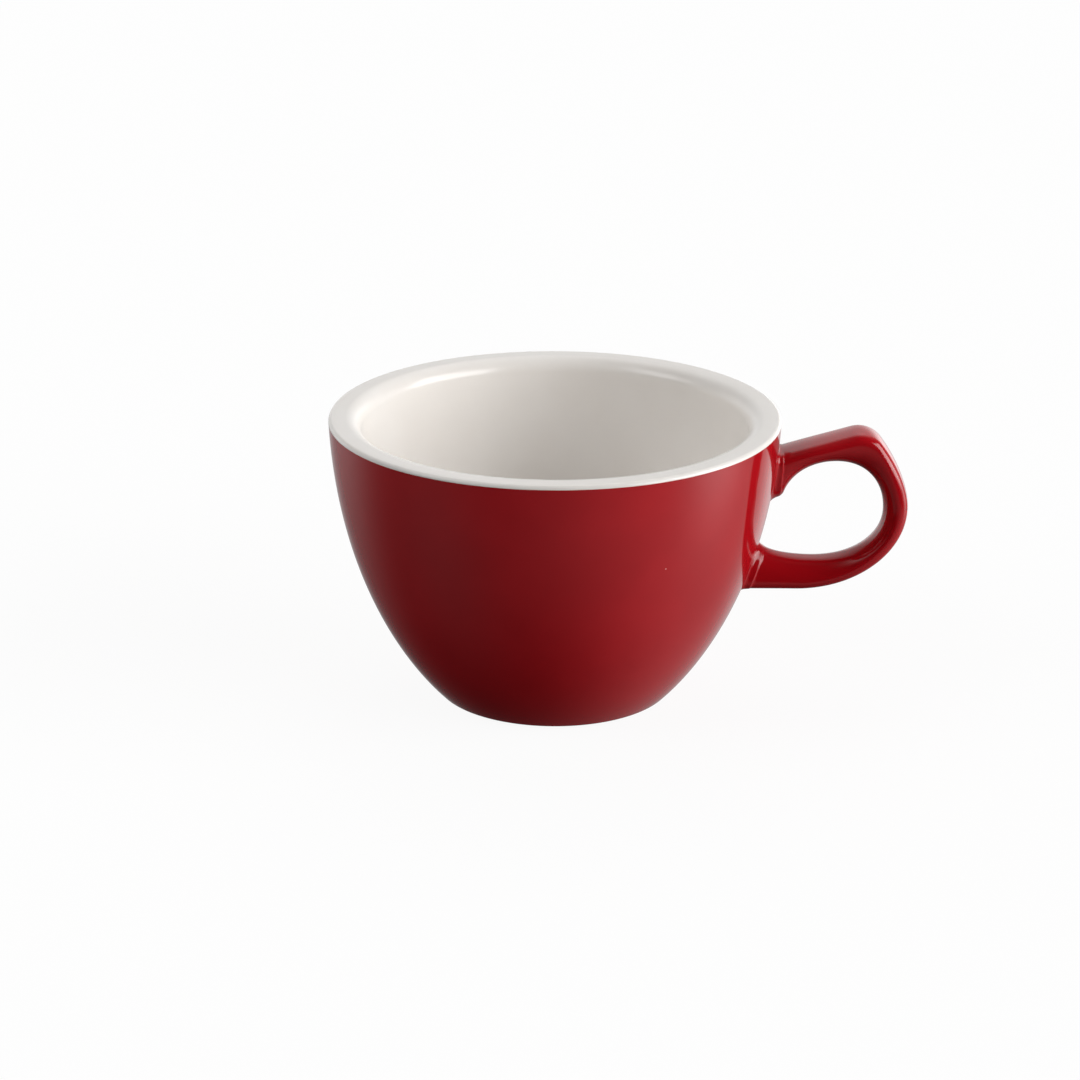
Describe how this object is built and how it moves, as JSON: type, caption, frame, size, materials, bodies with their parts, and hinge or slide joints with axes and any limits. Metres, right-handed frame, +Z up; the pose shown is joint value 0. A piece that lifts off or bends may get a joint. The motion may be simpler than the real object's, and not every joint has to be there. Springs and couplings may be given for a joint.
{
  "type": "coffee cup",
  "caption": "Low, wide porcelain coffee cup with a curved tapering bowl, a thick rounded lip, a foot ring and a strap handle with a thumb rest; red glaze outside, white glaze inside.",
  "frame": {"origin": "middle of the footprint of the cup with its handle, on the table under the foot ring", "axes": "+Z up along the bowl's axis, +X towards the handle, +Y away from the viewer of the picture's side"},
  "size_m": [0.1196, 0.093, 0.0599],
  "materials": {
    "porcelain": "matte",
    "red_glaze": "gloss",
    "white_glaze": "gloss"
  },
  "bodies": {
    "root": {"cup_body": "porcelain", "handle": "porcelain", "upper_handle_joint": "porcelain", "lower_handle_joint": "porcelain", "outer_glaze": "red_glaze", "liner_glaze": "white_glaze", "foot_well_glaze": "red_glaze"}
  },
  "joints": []
}
